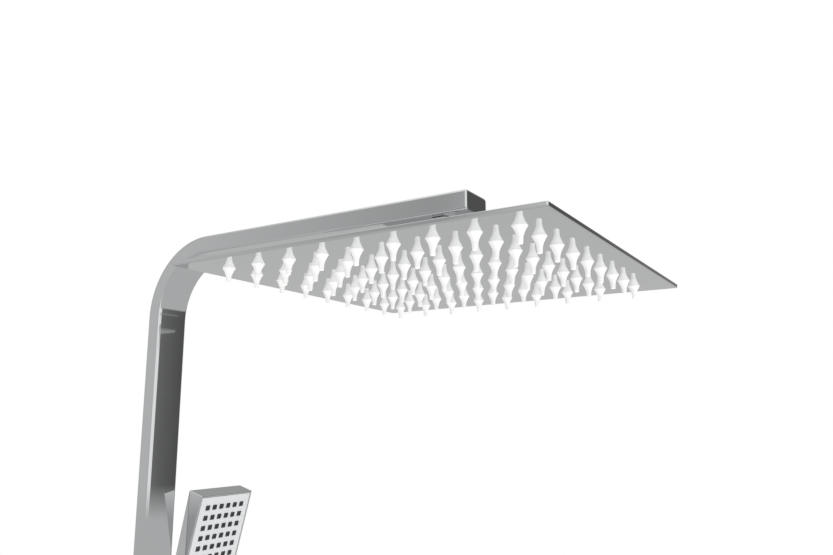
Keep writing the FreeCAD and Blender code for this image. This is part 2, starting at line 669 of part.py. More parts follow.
def handset_face_plate():
    """Satin spray face, set in the rim, with a square window for each nozzle."""
    plate = face_prism(handset_outline(RIM + 0.1, PLATE_LENGTH - 0.1), 0.2, 2.0)
    return plate.cut(group(spray_cells(SPRAY_SIZE + 0.2, -1, 3)))


def handset_nozzle_mat():
    """Dark rubber mat behind the face, with a square nozzle in each window."""
    mat = face_prism(handset_outline(RIM + 1.5, PLATE_LENGTH - 1.5), 2.0, 3.2)
    mat = mat.fuse(spray_cells(SPRAY_SIZE, -0.6, 2.1)).removeSplitter()
    holes = []
    first = -(SPRAY_COLUMNS - 1) / 2 * SPRAY_PITCH_X
    for row in range(SPRAY_ROWS):
        for column in range(SPRAY_COLUMNS):
            start = face_point(first + SPRAY_PITCH_X * column, -1,
                               SPRAY_FIRST + SPRAY_PITCH_V * row)
            holes.append(rod(0.6, start, INWARD, 6))
    return mat.cut(group(holes))


def handset_manifold():
    """Plastic plate that carries the mat and closes the water chamber."""
    plate = face_prism(handset_outline(RIM + 0.2, PLATE_LENGTH - 0.2), 3.2, 5.2)
    wells = []
    for row in range(SPRAY_ROWS):
        down = SPRAY_FIRST + SPRAY_PITCH_V * row
        wells.append(face_prism([(-25, down - 1.5), (25, down - 1.5),
                                 (25, down + 1.5), (-25, down + 1.5)], 3, 6))
    return plate.cut(group(wells))


def handset_gasket():
    """Seal between the manifold and the shell."""
    outer = face_prism(handset_outline(RIM + 0.3, PLATE_LENGTH - 0.3), 5.2, 6.0)
    opening = [(-27, 8), (27, 8), (27, 70), (20, 92), (-20, 92), (-27, 70)]
    return outer.cut(face_prism(opening, 5, 7))


def handset_nipple():
    """Threaded brass inlet in the handle's foot."""
    foot = PLUG_FOOT_Z - THREAD_LENGTH
    thread = rod(THREAD_R, Vector(HANDSET_X, HANDLE_Y, foot), AXIS_Z, THREAD_LENGTH - 1)
    thread = thread.makeChamfer(0.8, [edge for edge in thread.Edges
                                      if edge.Closed and abs(edge.BoundBox.ZMax - foot) < 0.01])
    flange = rod(9.6, Vector(HANDSET_X, HANDLE_Y, PLUG_FOOT_Z - 1), AXIS_Z, 1)
    shank = rod(8.0, Vector(HANDSET_X, HANDLE_Y, PLUG_FOOT_Z), AXIS_Z, 11.9)
    bore = rod(5.0, Vector(HANDSET_X, HANDLE_Y, foot - 1), AXIS_Z, 40)
    return thread.fuse([flange, shank]).cut(bore)


def check_valve():
    """Non-return valve in the inlet's bore."""
    valve = rod(4.9, Vector(HANDSET_X, HANDLE_Y, PLUG_FOOT_Z - 4), AXIS_Z, 10)
    return valve.cut(rod(2.0, Vector(HANDSET_X, HANDLE_Y, PLUG_FOOT_Z - 5), AXIS_Z, 12))


# ---- diverter -----------------------------------------------------------------------

CAVITY_BACK_Y = TUBE_Y + 8
SOCKET_FOOT_Z = RISER_FOOT_Z - 1.5


def diverter_body():
    """Square brass body: socket for the riser, cartridge cavity, two ports at the foot."""
    body = rounded_bar(BODY_WIDTH, BODY_DEPTH, 3, 0, TUBE_Y, BODY_FOOT_Z, BODY_TOP_Z)
    rims = [edge for edge in body.Edges
            if edge.BoundBox.ZLength < 0.01]
    body = body.makeFillet(1.5, rims)
    socket = rounded_bar(TUBE_WIDTH + 0.2, TUBE_DEPTH + 0.2, TUBE_CORNER + 0.1,
                         0, TUBE_Y, SOCKET_FOOT_Z, BODY_TOP_Z + 1)
    cavity = rod(11.0, Vector(0, BODY_FRONT_Y - 1, KNOB_Z), AXIS_Y, CAVITY_BACK_Y - BODY_FRONT_Y + 1)
    rise = rod(5.0, Vector(0, TUBE_Y, KNOB_Z), AXIS_Z, SOCKET_FOOT_Z - KNOB_Z + 1)
    cross = rod(4.0, Vector(-PORT_X, TUBE_Y, KNOB_Z - 6), AXIS_X, 2 * PORT_X)
    grub = rod(2.5, Vector(0, TUBE_BACK_Y - 1, BODY_TOP_Z - 8), AXIS_Y, 20)
    body = body.cut(socket).cut(cavity).cut(rise).cut(cross).cut(grub)
    for side in (-1, 1):
        port = rod(9.3, Vector(side * PORT_X, TUBE_Y, BODY_FOOT_Z - 1), AXIS_Z, 13)
        channel = rod(5.0, Vector(side * PORT_X, TUBE_Y, BODY_FOOT_Z), AXIS_Z, 22)
        body = body.cut(port).cut(channel)
    return body


def tube_seal():
    """Gasket under the riser's foot."""
    outer = rounded_bar(TUBE_WIDTH, TUBE_DEPTH, TUBE_CORNER, 0, TUBE_Y, SOCKET_FOOT_Z, RISER_FOOT_Z)
    inner = rounded_bar(TUBE_WIDTH - 6, TUBE_DEPTH - 6, 1, 0, TUBE_Y, SOCKET_FOOT_Z - 1, 0)
    return outer.cut(inner)


def tube_grub():
    """Grub screw that holds the riser in the body."""
    z = BODY_TOP_Z - 8
    screw = rod(2.45, Vector(0, TUBE_BACK_Y, z), AXIS_Y, BODY_BACK_Y - TUBE_BACK_Y - 0.5)
    return screw.cut(hexagon_bar(2.5, Vector(0, BODY_BACK_Y - 3, z), AXIS_Y, 4))


def port_nipple(side):
    """Threaded brass port with a hexagonal flange."""
    x = side * PORT_X
    flange_foot = BODY_FOOT_Z - 4
    flange = hexagon_bar(23, Vector(x, TUBE_Y, flange_foot), AXIS_Z, 4)
    shank = rod(9.25, Vector(x, TUBE_Y, BODY_FOOT_Z), AXIS_Z, 11)
    thread = rod(THREAD_R, Vector(x, TUBE_Y, flange_foot - THREAD_LENGTH), AXIS_Z, THREAD_LENGTH)
    thread = thread.makeChamfer(0.8, [edge for edge in thread.Edges if edge.Closed and
                                      edge.BoundBox.ZMax < flange_foot - THREAD_LENGTH + 0.01])
    bore = rod(6.5, Vector(x, TUBE_Y, BODY_FOOT_Z - 30), AXIS_Z, 60)
    return flange.fuse([shank, thread]).cut(bore)


def inlet_strainer():
    """Filter in the inlet's bore."""
    return ring(6.4, 2.0, Vector(-PORT_X, TUBE_Y, BODY_FOOT_Z - 8), AXIS_Z, 4)


def diverter_cartridge():
    """Brass cartridge body with the chamber for the two ceramic discs."""
    front = BODY_FRONT_Y + 2
    shell = rod(10.9, Vector(0, front, KNOB_Z), AXIS_Y, CAVITY_BACK_Y - front)
    chamber = rod(6.2, Vector(0, CAVITY_BACK_Y - 14, KNOB_Z), AXIS_Y, 20)
    spindle = rod(4.05, Vector(0, front - 1, KNOB_Z), AXIS_Y, 30)
    ports = rod(3.5, Vector(-12, CAVITY_BACK_Y - 3, KNOB_Z), AXIS_X, 24)
    return shell.cut(chamber).cut(spindle).cut(ports)


def fixed_disc():
    """Ceramic disc that stays in the cartridge, with its water ports."""
    disc = rod(6.1, Vector(0, CAVITY_BACK_Y - 9, KNOB_Z), AXIS_Y, 3)
    for side in (-1, 1):
        disc = disc.cut(rod(1.6, Vector(side * 3.2, CAVITY_BACK_Y - 10, KNOB_Z), AXIS_Y, 5))
    return disc


def turning_disc():
    """Ceramic disc on the spindle that opens one port or the other."""
    disc = rod(6.1, Vector(0, CAVITY_BACK_Y - 12.1, KNOB_Z), AXIS_Y, 3)
    return disc.cut(rod(1.6, Vector(0, CAVITY_BACK_Y - 13, KNOB_Z - 3.2), AXIS_Y, 5))


def bonnet_nut():
    """Nut that holds the cartridge in the body."""
    nut = hexagon_bar(23, Vector(0, BODY_FRONT_Y - 4.5, KNOB_Z), AXIS_Y, 4.5)
    nut = nut.fuse(rod(10.9, Vector(0, BODY_FRONT_Y, KNOB_Z), AXIS_Y, 2))
    return nut.cut(rod(4.6, Vector(0, BODY_FRONT_Y - 6, KNOB_Z), AXIS_Y, 10))


KNOB_BACK_Y = BODY_FRONT_Y - 1.5
KNOB_FRONT_Y = KNOB_BACK_Y - 24
SPINDLE_END_Y = KNOB_FRONT_Y + 6


def diverter_spindle():
    """Steel spindle between the turning disc and the knob."""
    start = Vector(0, SPINDLE_END_Y, KNOB_Z)
    return rod(4.0, start, AXIS_Y, CAVITY_BACK_Y - 12.1 - SPINDLE_END_Y)


def diverter_knob():
    """Square knob, hollow behind, with a recess for the marker at its top."""
    knob = facing_bar(KNOB_SIDE, KNOB_SIDE, 3, 0, KNOB_Z, KNOB_FRONT_Y, KNOB_BACK_Y)
    front_edges = [edge for edge in knob.Edges
                   if abs(edge.BoundBox.YMin - KNOB_FRONT_Y) < 0.01 and edge.BoundBox.YLength < 0.01]
    knob = knob.makeFillet(1.2, front_edges)
    hollow = rod(14.6, Vector(0, KNOB_BACK_Y - 5, KNOB_Z), AXIS_Y, 8)
    seat = rod(4.05, Vector(0, SPINDLE_END_Y - 0.1, KNOB_Z), AXIS_Y, 40)
    screw = rod(2.05, Vector(0, KNOB_BACK_Y - 10, KNOB_Z - KNOB_SIDE / 2 - 1), AXIS_Z, 20)
    marker = block(-1.3, 1.3, KNOB_FRONT_Y - 1, KNOB_FRONT_Y + 0.6,
                   KNOB_Z + 5, KNOB_Z + KNOB_SIDE / 2 - 3)
    return knob.cut(hollow).cut(seat).cut(screw).cut(marker)


def knob_marker():
    """Grey inlay that shows which way the knob points."""
    return block(-1.25, 1.25, KNOB_FRONT_Y, KNOB_FRONT_Y + 0.6,
                 KNOB_Z + 5.05, KNOB_Z + KNOB_SIDE / 2 - 3.05)


def knob_grub():
    """Grub screw that holds the knob on the spindle."""
    foot = KNOB_Z - KNOB_SIDE / 2 + 1
    screw = rod(2.0, Vector(0, KNOB_BACK_Y - 10, foot), AXIS_Z, KNOB_Z - 4.0 - foot)
    return screw.cut(hexagon_bar(2, Vector(0, KNOB_BACK_Y - 10, foot - 1), AXIS_Z, 3))


# ---- build --------------------------------------------------------------------------

save("riser_tube", riser_tube())
save("arm_end_cap", arm_end_cap())
save("arm_nipple", arm_nipple())
save("ball_stem", ball_stem())
save("stem_washer", stem_washer())
save("ball_seat", ball_seat())
save("ball_friction_ring", ball_friction_ring())
save("socket_nut", socket_nut())
save("head_hub", head_hub())
save("head_filter", head_filter())
save("flow_restrictor", flow_restrictor())
save("head_front_plate", head_front_plate())
save("head_back_plate", head_back_plate())
save("nozzle_mat", nozzle_mat())

for name, height in (("upper", UPPER_BRACKET_Z), ("lower", 0.0)):
    save(name + "_wall_plate", wall_plate(height))
    save(name + "_standoff", standoff(height))
    save(name + "_wall_cover", wall_cover(height))
BRACKET_HEIGHTS = (UPPER_BRACKET_Z, 0.0)
save("bracket_studs", group([bracket_stud(height) for height in BRACKET_HEIGHTS]))
save("bracket_nuts", group([bracket_nut(height) for height in BRACKET_HEIGHTS]))
save("bracket_grub_screws", group([bracket_grub(height) for height in BRACKET_HEIGHTS]))

save("slider_liner", slider_liner())
save("slider_body", slider_body())
save("clamp_pad", clamp_pad())
save("lock_knob", lock_knob())
save("lock_screw", lock_screw())
save("friction_washer", friction_washer())
save("cradle", cradle())
save("pivot_screw", pivot_screw())

save("handset_shell", handset_shell())
save("handset_face_plate", handset_face_plate())
save("handset_nozzle_mat", handset_nozzle_mat())
save("handset_manifold", handset_manifold())
save("handset_gasket", handset_gasket())
save("handset_nipple", handset_nipple())
save("check_valve", check_valve())

save("diverter_body", diverter_body())
save("tube_seal", tube_seal())
save("tube_grub_screw", tube_grub())
save("inlet_nipple", port_nipple(-1))
save("hose_outlet_nipple", port_nipple(1))
save("inlet_strainer", inlet_strainer())
save("diverter_cartridge", diverter_cartridge())
save("fixed_disc", fixed_disc())
save("turning_disc", turning_disc())
save("bonnet_nut", bonnet_nut())
save("diverter_spindle", diverter_spindle())
save("diverter_knob", diverter_knob())
save("knob_marker", knob_marker())
save("knob_grub_screw", knob_grub())
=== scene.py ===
import math

import bmesh
import bpy
import numpy as np
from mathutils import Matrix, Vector


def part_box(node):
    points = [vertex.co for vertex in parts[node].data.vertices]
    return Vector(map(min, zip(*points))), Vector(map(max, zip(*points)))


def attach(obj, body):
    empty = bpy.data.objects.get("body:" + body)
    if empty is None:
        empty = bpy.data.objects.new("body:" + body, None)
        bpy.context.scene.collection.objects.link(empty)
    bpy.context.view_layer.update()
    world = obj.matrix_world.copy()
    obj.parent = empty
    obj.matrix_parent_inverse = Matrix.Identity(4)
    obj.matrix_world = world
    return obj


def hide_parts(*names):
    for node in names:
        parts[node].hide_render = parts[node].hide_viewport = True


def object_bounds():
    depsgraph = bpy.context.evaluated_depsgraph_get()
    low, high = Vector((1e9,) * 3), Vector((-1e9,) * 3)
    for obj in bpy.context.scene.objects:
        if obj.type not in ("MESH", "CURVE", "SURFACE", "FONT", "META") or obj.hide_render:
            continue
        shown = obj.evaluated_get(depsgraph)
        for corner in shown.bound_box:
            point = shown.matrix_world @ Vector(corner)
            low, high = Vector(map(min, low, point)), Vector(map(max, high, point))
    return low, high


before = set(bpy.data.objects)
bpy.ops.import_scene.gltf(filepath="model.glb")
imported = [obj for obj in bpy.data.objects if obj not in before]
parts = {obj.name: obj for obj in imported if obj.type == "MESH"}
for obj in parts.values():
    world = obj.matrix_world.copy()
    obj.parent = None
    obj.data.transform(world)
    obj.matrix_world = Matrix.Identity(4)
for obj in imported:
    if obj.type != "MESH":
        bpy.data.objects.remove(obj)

cad_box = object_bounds()


# ---- Studio -------------------------------------------------------------------------
# A plain white studio with a pale floor and an even white sky. Bright metal shows only what
# stands around it, so it is given a grey floor, grey and white sides and one dark flag.

def linear(code):
    """A hex colour as linear RGBA: each channel through the sRGB curve."""
    channels = []
    for start in (1, 3, 5):
        value = int(code[start:start + 2], 16) / 255
        curved = ((value + 0.055) / 1.055) ** 2.4
        channels.append(value / 12.92 if value <= 0.04045 else curved)
    return (*channels, 1.0)


def add(tree, kind, inputs=None, **settings):
    """A new node with its settings; each input takes a value or another node's socket."""
    node = tree.nodes.new(kind)
    for name, value in settings.items():
        setattr(node, name, value)
    for name, value in (inputs or {}).items():
        if isinstance(value, bpy.types.NodeSocket):
            tree.links.new(value, node.inputs[name])
        else:
            node.inputs[name].default_value = value
    return node


def grey(level):
    """A neutral colour of that linear brightness."""
    return (level, level, level, 1)


WHITE_BEHIND = 1.0
WHITE_OVERHEAD = 1.0
WHITE_SKY = 1.0
DARK_FLAG = 0.1
GREY_BACK = 0.4
GREY_LEFT = 0.6
GREY_FLOOR = 0.55
AROUND_STUDIO = [(-180, WHITE_BEHIND), (-60, WHITE_BEHIND), (-50, DARK_FLAG), (-20, DARK_FLAG),
                 (0, GREY_BACK), (60, GREY_BACK), (130, GREY_LEFT), (150, GREY_BACK),
                 (170, WHITE_BEHIND)]
FLOOR_EDGE = (-0.12, -0.08)
OVERHEAD_EDGE = (0.6, 0.8)

world = bpy.data.worlds.new("white_studio")
bpy.context.scene.world = world
world.use_nodes = True
sky = world.node_tree
sky.nodes.clear()
towards = add(sky, "ShaderNodeTexCoord")
split = add(sky, "ShaderNodeSeparateXYZ", {"Vector": towards.outputs["Generated"]})
height = split.outputs["Z"]
turn = add(sky, "ShaderNodeMath", {0: split.outputs["Y"], 1: split.outputs["X"]},
           operation="ARCTAN2")
turn = add(sky, "ShaderNodeMapRange", {"Value": turn.outputs[0], "From Min": -math.pi,
                                       "From Max": math.pi})
around = add(sky, "ShaderNodeValToRGB", {"Fac": turn.outputs[0]})
elements = around.color_ramp.elements
elements.remove(elements[-1])
elements[0].color = grey(AROUND_STUDIO[0][1])
for degrees, level in AROUND_STUDIO[1:]:
    elements.new((degrees + 180) / 360).color = grey(level)
above_floor = add(sky, "ShaderNodeMapRange", {"Value": height, "From Min": FLOOR_EDGE[0],
                                              "From Max": FLOOR_EDGE[1]})
overhead = add(sky, "ShaderNodeMapRange", {"Value": height, "From Min": OVERHEAD_EDGE[0],
                                           "From Max": OVERHEAD_EDGE[1]})
cards = add(sky, "ShaderNodeMix", {0: above_floor.outputs[0], 6: grey(GREY_FLOOR),
                                   7: around.outputs["Color"]}, data_type="RGBA")
cards = add(sky, "ShaderNodeMix", {0: overhead.outputs[0], 6: cards.outputs[2],
                                   7: grey(WHITE_OVERHEAD)}, data_type="RGBA")
ray = add(sky, "ShaderNodeLightPath")
shown = add(sky, "ShaderNodeMix", {0: ray.outputs["Is Glossy Ray"], 6: grey(WHITE_SKY),
                                   7: cards.outputs[2]}, data_type="RGBA")
light = add(sky, "ShaderNodeBackground", {"Color": shown.outputs[2]})
add(sky, "ShaderNodeOutputWorld", {"Surface": light.outputs[0]})

FLOOR_DROP = 0.25
FLOOR_RADIUS = 2.4
FLOOR_CORNERS = 96
FLOOR_FADE = (0.8, 2.0)
floor_z = cad_box[0].z - FLOOR_DROP
centre_y = (cad_box[0].y + cad_box[1].y) / 2
angles = np.linspace(0, 2 * np.pi, FLOOR_CORNERS + 1)[:-1]
floor_rim = np.stack([FLOOR_RADIUS * np.cos(angles), centre_y + FLOOR_RADIUS * np.sin(angles),
                      np.full_like(angles, floor_z)], 1)
floor_mesh = bpy.data.meshes.new("studio_floor")
floor_mesh.from_pydata(floor_rim.tolist(), [], [list(range(len(floor_rim)))])
floor = bpy.data.objects.new("studio_floor", floor_mesh)
floor.visible_glossy = False
bpy.context.scene.collection.objects.link(floor)
paint = bpy.data.materials.new("white_floor_paint")
paint.use_nodes = True
coat = paint.node_tree
coat.nodes.clear()
spot = add(coat, "ShaderNodeTexCoord")
reach = add(coat, "ShaderNodeVectorMath", {0: spot.outputs["Object"]}, operation="LENGTH")
matt = add(coat, "ShaderNodeBsdfDiffuse", {"Color": linear("#F9F9F9")})
clear = add(coat, "ShaderNodeBsdfTransparent")
fade = add(coat, "ShaderNodeMapRange", {"Value": reach.outputs["Value"],
                                        "From Min": FLOOR_FADE[0], "From Max": FLOOR_FADE[1]},
           interpolation_type="SMOOTHSTEP")
faded = add(coat, "ShaderNodeMixShader", {0: fade.outputs[0], 1: matt.outputs[0],
                                          2: clear.outputs[0]})
add(coat, "ShaderNodeOutputMaterial", {"Surface": faded.outputs[0]})
floor_mesh.materials.append(paint)

head_low, head_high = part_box("head_front_plate")
head_middle = (head_low + head_high) / 2
AIM_AHEAD = 0.0265
AIM_ABOVE = 0.0029
CAMERA_TURN = math.radians(31.792)
CAMERA_RISE = math.radians(10.808)
CAMERA_REACH = 0.6168
CAMERA_LENS = 32.04
CAMERA_SENSOR = 36
CAMERA_NEAR = 0.01
aim = Vector((head_middle.x, head_middle.y + AIM_AHEAD, head_low.z + AIM_ABOVE))
sight = Vector((math.cos(CAMERA_RISE) * math.cos(CAMERA_TURN),
                math.cos(CAMERA_RISE) * math.sin(CAMERA_TURN), math.sin(CAMERA_RISE)))
camera_data = bpy.data.cameras.new("camera")
camera_data.lens = CAMERA_LENS
camera_data.sensor_width = CAMERA_SENSOR
camera_data.clip_start = CAMERA_NEAR
camera = bpy.data.objects.new("camera", camera_data)
camera.location = aim - sight * CAMERA_REACH
camera.rotation_euler = sight.to_track_quat("-Z", "Y").to_euler()
bpy.context.scene.collection.objects.link(camera)
bpy.context.scene.camera = camera
bpy.context.scene.view_settings.view_transform = "Standard"


def studio_lamp(name, location, size, power):
    """A soft square lamp that faces the overhead shower and doesn't show in the metal."""
    lamp = bpy.data.lights.new(name, "AREA")
    lamp.size = size
    lamp.energy = power
    stand = bpy.data.objects.new(name, lamp)
    stand.location = location
    stand.rotation_euler = (aim - Vector(location)).to_track_quat("-Z", "Y").to_euler()
    stand.visible_glossy = False
    bpy.context.scene.collection.objects.link(stand)


studio_lamp("key_lamp", (-1.5, -1.7, 1.9), 1.2, 10)
studio_lamp("low_lamp", (-0.4, -1.4, -0.1), 1.4, 9)


# ---- Riser and arm ------------------------------------------------------------------
# One length of flat stainless tube, bent once and mirror polished. It shows long clean
# reflections on its flats, a bright line on each rounded corner, and faint polishing waves.

def surface(name, code, metallic, roughness):
    """A material with one principled shader: its tree and shader come back with it."""
    material = bpy.data.materials.new(name)
    material.use_nodes = True
    tree = material.node_tree
    tree.nodes.clear()
    shader = add(tree, "ShaderNodeBsdfPrincipled")
    shader.inputs["Base Color"].default_value = linear(code)
    shader.inputs["Metallic"].default_value = metallic
    shader.inputs["Roughness"].default_value = roughness
    add(tree, "ShaderNodeOutputMaterial", {"Surface": shader.outputs[0]})
    return material, tree, shader


def grain(tree, shader, size_mm, depth_mm, roughness, detail=3.0, stretch=(1, 1, 1)):
    """Noise of that grain size: it lifts the surface by depth_mm and varies the roughness."""
    place = add(tree, "ShaderNodeTexCoord")
    mapped = add(tree, "ShaderNodeMapping", {"Vector": place.outputs["Object"], "Scale": stretch})
    noise = add(tree, "ShaderNodeTexNoise", {"Vector": mapped.outputs[0], "Scale": 1000 / size_mm,
                                             "Detail": detail})
    bump = add(tree, "ShaderNodeBump", {"Height": noise.outputs["Fac"], "Strength": 1.0,
                                        "Distance": depth_mm / 1000})
    tree.links.new(bump.outputs[0], shader.inputs["Normal"])
    spread = add(tree, "ShaderNodeMapRange", {"Value": noise.outputs["Fac"], "From Min": 0.3,
                                              "From Max": 0.7, "To Min": roughness[0],
                                              "To Max": roughness[1]})
    tree.links.new(spread.outputs[0], shader.inputs["Roughness"])


def rounded_outline(width, depth, corner, steps=8):
    """Points and outward directions of a rounded rectangle, anticlockwise: each corner is a
    quarter circle of radius corner, round a centre that far in from both sides."""
    turn = np.linspace(0, np.pi / 2, steps + 1)
    points = []
    outward = []
    for index, (side_x, side_y) in enumerate(((1, 1), (-1, 1), (-1, -1), (1, -1))):
        arc = turn + index * np.pi / 2
        direction = np.stack([np.cos(arc), np.sin(arc)], 1)
        centre = np.array([side_x * (width / 2 - corner), side_y * (depth / 2 - corner)])
        points.append(centre + corner * direction)
        outward.append(direction)
    return np.concatenate(points), np.concatenate(outward)


def skin(name, material, rings, outward, ends="caps"):
    """A surface over an array of rings (ring, point, xyz): a quad joins each point to its
    neighbours round the ring and on the next ring. The ends are flat caps, or join as a loop.
    outward holds the exact surface direction at each point, so flats stay flat."""
    count, around = rings.shape[:2]
    low = np.arange(count * around).reshape(count, around)
    high = np.roll(low, -1, 0)
    if ends != "loop":
        low, high = low[:-1], high[:-1]
    quads = np.stack([low, np.roll(low, -1, 1), np.roll(high, -1, 1), high], -1).reshape(-1, 4)
    points = rings.reshape(-1, 3)
    directions = outward.reshape(-1, 3)
    one_way = points[quads[:, 2]] - points[quads[:, 0]]
    other_way = points[quads[:, 3]] - points[quads[:, 1]]
    inside_out = np.sum(np.cross(one_way, other_way) * directions[quads].mean(1)) < 0
    if inside_out:
        quads = quads[:, ::-1]
    faces = quads.tolist()
    corner_directions = directions[quads].reshape(-1, 3)
    if ends == "caps":
        for ring in (0, count - 1):
            loop = np.arange(around) + ring * around
            if (ring == 0) != inside_out:
                loop = loop[::-1]
            centred = rings[ring] - rings[ring].mean(0)
            flat = np.cross(centred, np.roll(centred, -1, 0)).sum(0)
            flat = flat / np.linalg.norm(flat)
            if (ring == 0) != inside_out:
                flat = -flat
            faces.append(loop.tolist())
            corner_directions = np.concatenate([corner_directions, np.tile(flat, (around, 1))])
    mesh = bpy.data.meshes.new(name)
    mesh.from_pydata(points.tolist(), [], faces)
    mesh.polygons.foreach_set("use_smooth", np.ones(len(faces), bool))
    mesh.normals_split_custom_set(corner_directions.tolist())
    mesh.materials.append(material)
    piece = bpy.data.objects.new(name, mesh)
    bpy.context.scene.collection.objects.link(piece)
    return piece


def fit(piece, body, slot, *nodes):
    """The piece moves with a body and stands for CAD nodes, which it hides. The slot is not used."""
    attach(piece, body)
    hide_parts(*nodes)


# Mirror-polished stainless: the wheel leaves waves about 30 mm long, too low to see as
# relief, which make long reflections waver a little.
polished_steel, tree, shader = surface("mirror_polished_stainless", "#D8D9DA", 1, 0.03)
grain(tree, shader, 30, 0.0015, (0.02, 0.045), detail=1.0)

CORNER = 0.0026
TUBE_WALL = 0.0015
BEND_RADIUS = 0.077
BEND_STEPS = 64
tube_low, tube_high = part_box("riser_tube")
standing_low, standing_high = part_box("tube_seal")
tube_width = tube_high.x - tube_low.x
tube_depth = standing_high.y - standing_low.y
back_y = standing_high.y
bend_y = back_y - BEND_RADIUS
bend_z = tube_high.z - BEND_RADIUS
quarter = np.linspace(0, np.pi / 2, BEND_STEPS + 1)
lean = np.concatenate([[0], quarter, [np.pi / 2]])
middle_radius = BEND_RADIUS - tube_depth / 2
spine_y = np.concatenate([[0], bend_y + middle_radius * np.cos(quarter), [0]])
spine_z = np.concatenate([[0], bend_z + middle_radius * np.sin(quarter), [0]])
spine_y[0], spine_z[0] = back_y - tube_depth / 2, tube_low.z
spine_y[-1], spine_z[-1] = tube_low.y, tube_high.z - tube_depth / 2


def along_spine(inset):
    """The tube's section, moved in by inset, at every point of the bent centre line: across
    is X, and the section's depth points away from the bend's centre."""
    section, facing = rounded_outline(tube_width - 2 * inset, tube_depth - 2 * inset, CORNER - inset)
    away = np.stack([np.zeros_like(lean), np.cos(lean), np.sin(lean)], 1)
    spine = np.stack([np.zeros_like(lean), spine_y, spine_z], 1)
    across = np.array([1.0, 0, 0])
    rings = spine[:, None] + section[None, :, :1] * across + section[None, :, 1:] * away[:, None]
    outward = facing[None, :, :1] * across + facing[None, :, 1:] * away[:, None]
    return rings, outward


outer, outer_facing = along_spine(0)
inner, inner_facing = along_spine(TUBE_WALL)
riser = skin("riser", polished_steel, np.concatenate([outer, inner[::-1]]),
             np.concatenate([outer_facing, -inner_facing[::-1]]), ends="loop")
fit(riser, "riser", "mirror_steel", "riser_tube")


# ---- Arm's end cap ------------------------------------------------------------------
# A polished stainless plate pressed into the open end of the arm, flush with the tube.
# Its front edge is rolled, more along the top than round the rest, and catches the light.

CAP_SIDE_ROLL = 0.0009
CAP_TOP_ROLL = 0.0025
CAP_AHEAD = 0.0017
CAP_STEPS = 8
cap_low, cap_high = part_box("arm_end_cap")
cap_z = (cap_low.z + cap_high.z) / 2
cap_turn = np.linspace(0, np.pi / 2, CAP_STEPS + 1)[:, None, None]
cap_points, cap_sides = rounded_outline(tube_width, tube_depth, CORNER)
roll = CAP_SIDE_ROLL + (CAP_TOP_ROLL - CAP_SIDE_ROLL) * np.clip(cap_sides[:, 1:], 0, 1) ** 2
drawn_in = cap_points - roll * (1 - np.cos(cap_turn)) * cap_sides
lean_in = np.cos(cap_turn) / roll * cap_sides
ahead = np.repeat(np.sin(cap_turn), len(cap_points), 1)
lean_ahead = ahead / CAP_AHEAD
lean_size = np.sqrt((lean_in ** 2).sum(-1, keepdims=True) + lean_ahead ** 2)
cap_rings = np.stack([drawn_in[..., 0], cap_low.y + CAP_AHEAD * (1 - ahead[..., 0]),
                      cap_z + drawn_in[..., 1]], -1)
cap_facing = np.stack([lean_in[..., 0], -lean_ahead[..., 0], lean_in[..., 1]], -1) / lean_size
foot_ring = cap_rings[:1].copy()
foot_ring[..., 1] = tube_low.y
end_cap = skin("arm_end_plate", polished_steel, np.concatenate([foot_ring, cap_rings]),
               np.concatenate([cap_facing[:1], cap_facing]))
fit(end_cap, "riser", "mirror_steel", "arm_end_cap")


# ---- Ball joint ---------------------------------------------------------------------
# A turned brass stem with a hexagonal collar hangs the overhead shower by its ball, and a
# hexagonal nut traps the ball. Both are chrome plated; the threads and seats stay hidden.

MERGE_WITHIN = 1e-6
FLAT_WITHIN = math.radians(0.6)


def softened(name, node, material, width_mm, segments=3, angle=28, clamp=True):
    """The CAD part with its hard edges rounded: its loose triangles are merged, flat ones
    joined, and every edge sharper than the angle gets a small bevel."""
    source = parts[node].data
    points = np.empty(len(source.vertices) * 3, np.float32)
    source.vertices.foreach_get("co", points)
    corners = np.empty(len(source.loops), np.int32)
    source.loops.foreach_get("vertex_index", corners)
    mesh = bpy.data.meshes.new(name)
    mesh.from_pydata(points.reshape(-1, 3).tolist(), [], corners.reshape(-1, 3).tolist())
    form = bmesh.new()
    form.from_mesh(mesh)
    bmesh.ops.remove_doubles(form, verts=form.verts, dist=MERGE_WITHIN)
    bmesh.ops.dissolve_limit(form, angle_limit=FLAT_WITHIN, verts=form.verts, edges=form.edges)
    form.to_mesh(mesh)
    form.free()
    mesh.polygons.foreach_set("use_smooth", np.ones(len(mesh.polygons), bool))
    mesh.set_sharp_from_angle(angle=math.radians(angle))
    mesh.materials.append(material)
    piece = bpy.data.objects.new(name, mesh)
    bpy.context.scene.collection.objects.link(piece)
    bevel = piece.modifiers.new("rounded_edges", "BEVEL")
    bevel.width = width_mm / 1000
    bevel.segments = segments
    bevel.use_clamp_overlap = clamp
    bevel.limit_method = "ANGLE"
    bevel.angle_limit = math.radians(angle)
    bevel.harden_normals = True
    bevel.miter_outer = "MITER_ARC"
    return piece


def dress(material, *nodes):
    """Hidden or small CAD parts keep their own shape and take a finish."""
    for node in nodes:
        mesh = parts[node].data
        mesh.materials.clear()
        mesh.materials.append(material)


# Bright chrome plating on machined brass: mirror bright, with a faint unevenness from the
# metal under the plating.
chromed_brass, tree, shader = surface("bright_chrome_on_brass", "#D8D9DA", 1, 0.03)
grain(tree, shader, 12, 0.0008, (0.02, 0.05), detail=2.0)

# Turned brass: warm yellow, with fine tool marks that blur its shine.
bare_brass, tree, shader = surface("turned_brass", "#C9A75B", 1, 0.22)
grain(tree, shader, 1.2, 0.004, (0.16, 0.32), stretch=(1, 1, 6))

